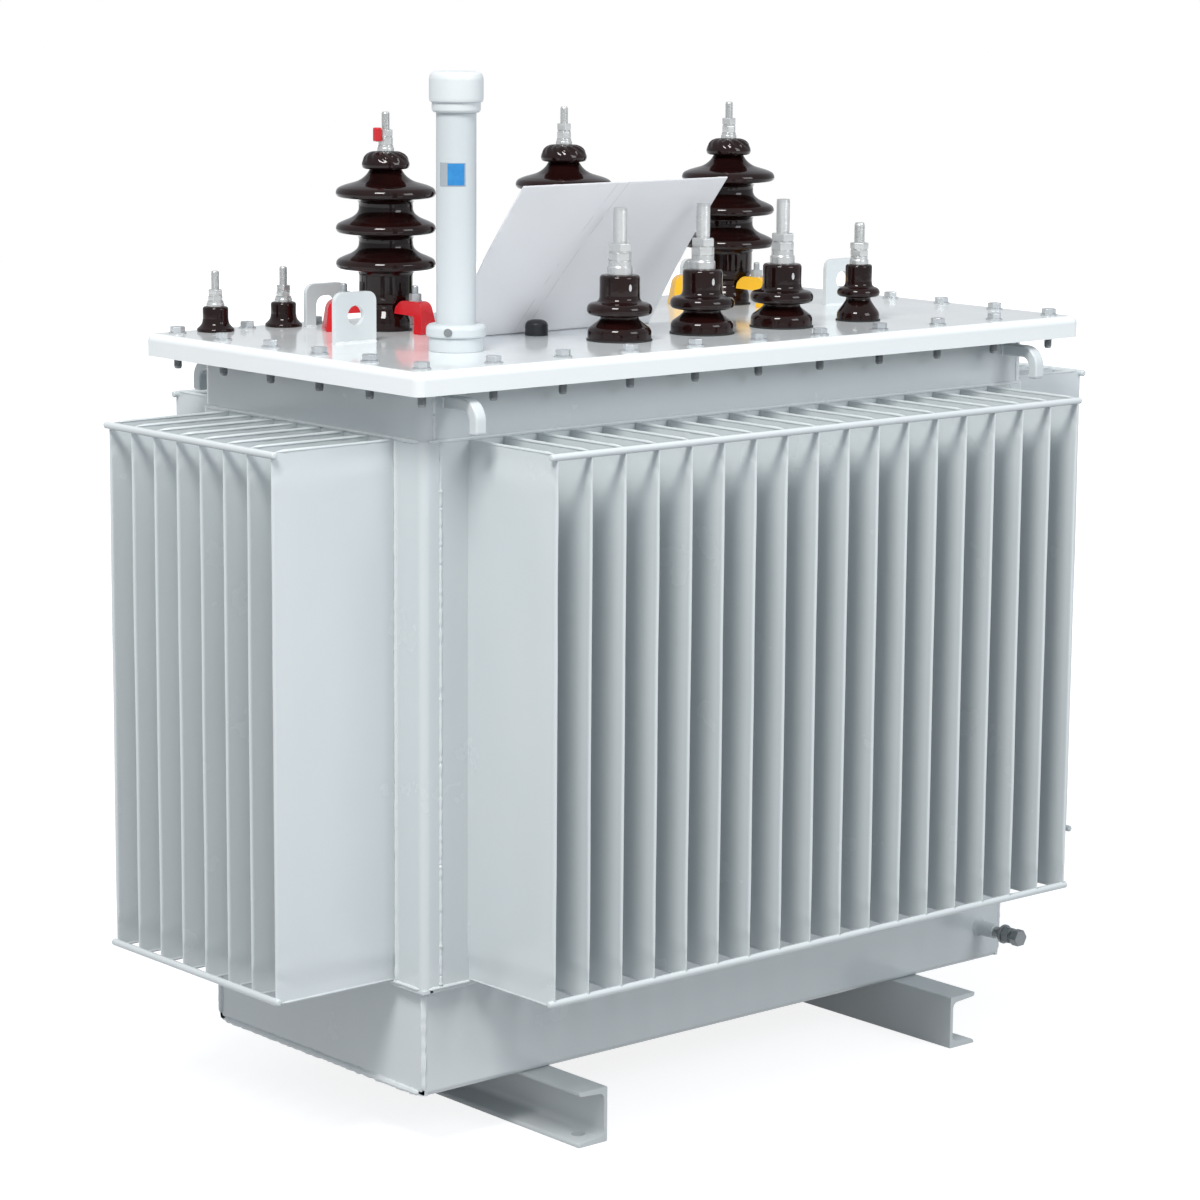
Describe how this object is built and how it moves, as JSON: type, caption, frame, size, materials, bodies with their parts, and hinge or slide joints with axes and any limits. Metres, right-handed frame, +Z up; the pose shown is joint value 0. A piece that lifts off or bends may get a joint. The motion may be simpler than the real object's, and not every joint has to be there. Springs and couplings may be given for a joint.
{
  "type": "power transformer",
  "caption": "Oil-filled three-phase distribution transformer with corrugated cooling fins, porcelain bushings, oil gauge and channel skids.",
  "frame": {"origin": "on the floor under the middle of the tank", "axes": "+X along the long side towards the neutral bushing, -Y towards the low-voltage side, +Z up"},
  "size_m": [1.578, 0.882, 1.473],
  "materials": {
    "tank_paint": "pale blue-grey gloss paint",
    "gasket_rubber": "matt",
    "brown_glaze": "glazed porcelain, very glossy",
    "red_paint": "gloss paint",
    "green_paint": "gloss paint",
    "yellow_paint": "gloss paint",
    "tinned_metal": "tinned, satin",
    "gauge_plastic": "satin",
    "white_plastic": "satin",
    "blue_indicator": "glossy",
    "black_plastic": "satin",
    "dark_steel": "dull dark steel"
  },
  "bodies": {
    "root": {"skid_left": "tank_paint", "skid_right": "tank_paint", "tank_floor": "tank_paint", "tray_wall_front": "tank_paint", "tray_wall_back": "tank_paint", "tray_wall_left": "tank_paint", "tray_wall_right": "tank_paint", "corner_post_front_left": "tank_paint", "corner_post_front_right": "tank_paint", "corner_post_back_left": "tank_paint", "corner_post_back_right": "tank_paint", "fin_panel_front": "tank_paint", "fin_panel_back": "tank_paint", "fin_panel_left": "tank_paint", "fin_panel_right": "tank_paint", "fin_rods_long": "tank_paint", "fin_rods_short": "tank_paint", "tank_neck": "tank_paint", "rim_flange": "tank_paint", "cover": "tank_paint", "lashing_hooks": "tank_paint", "lifting_lugs": "tank_paint", "cover_gasket": "gasket_rubber", "hv_insulator_left": "brown_glaze", "hv_insulator_middle": "brown_glaze", "hv_insulator_right": "brown_glaze", "lv_insulator_left": "brown_glaze", "lv_insulator_middle": "brown_glaze", "lv_insulator_right": "brown_glaze", "lv_insulator_neutral": "brown_glaze", "small_insulators": "brown_glaze", "hv_clamp_left": "red_paint", "hv_clamp_middle": "green_paint", "hv_clamp_right": "yellow_paint", "hv_terminals": "tinned_metal", "lv_terminals": "tinned_metal", "small_terminals": "tinned_metal", "gauge_base": "gauge_plastic", "gauge_tube": "gauge_plastic", "gauge_cap": "white_plastic", "gauge_window": "blue_indicator", "pocket_cap": "black_plastic", "earth_stud": "dark_steel"}
  },
  "joints": []
}
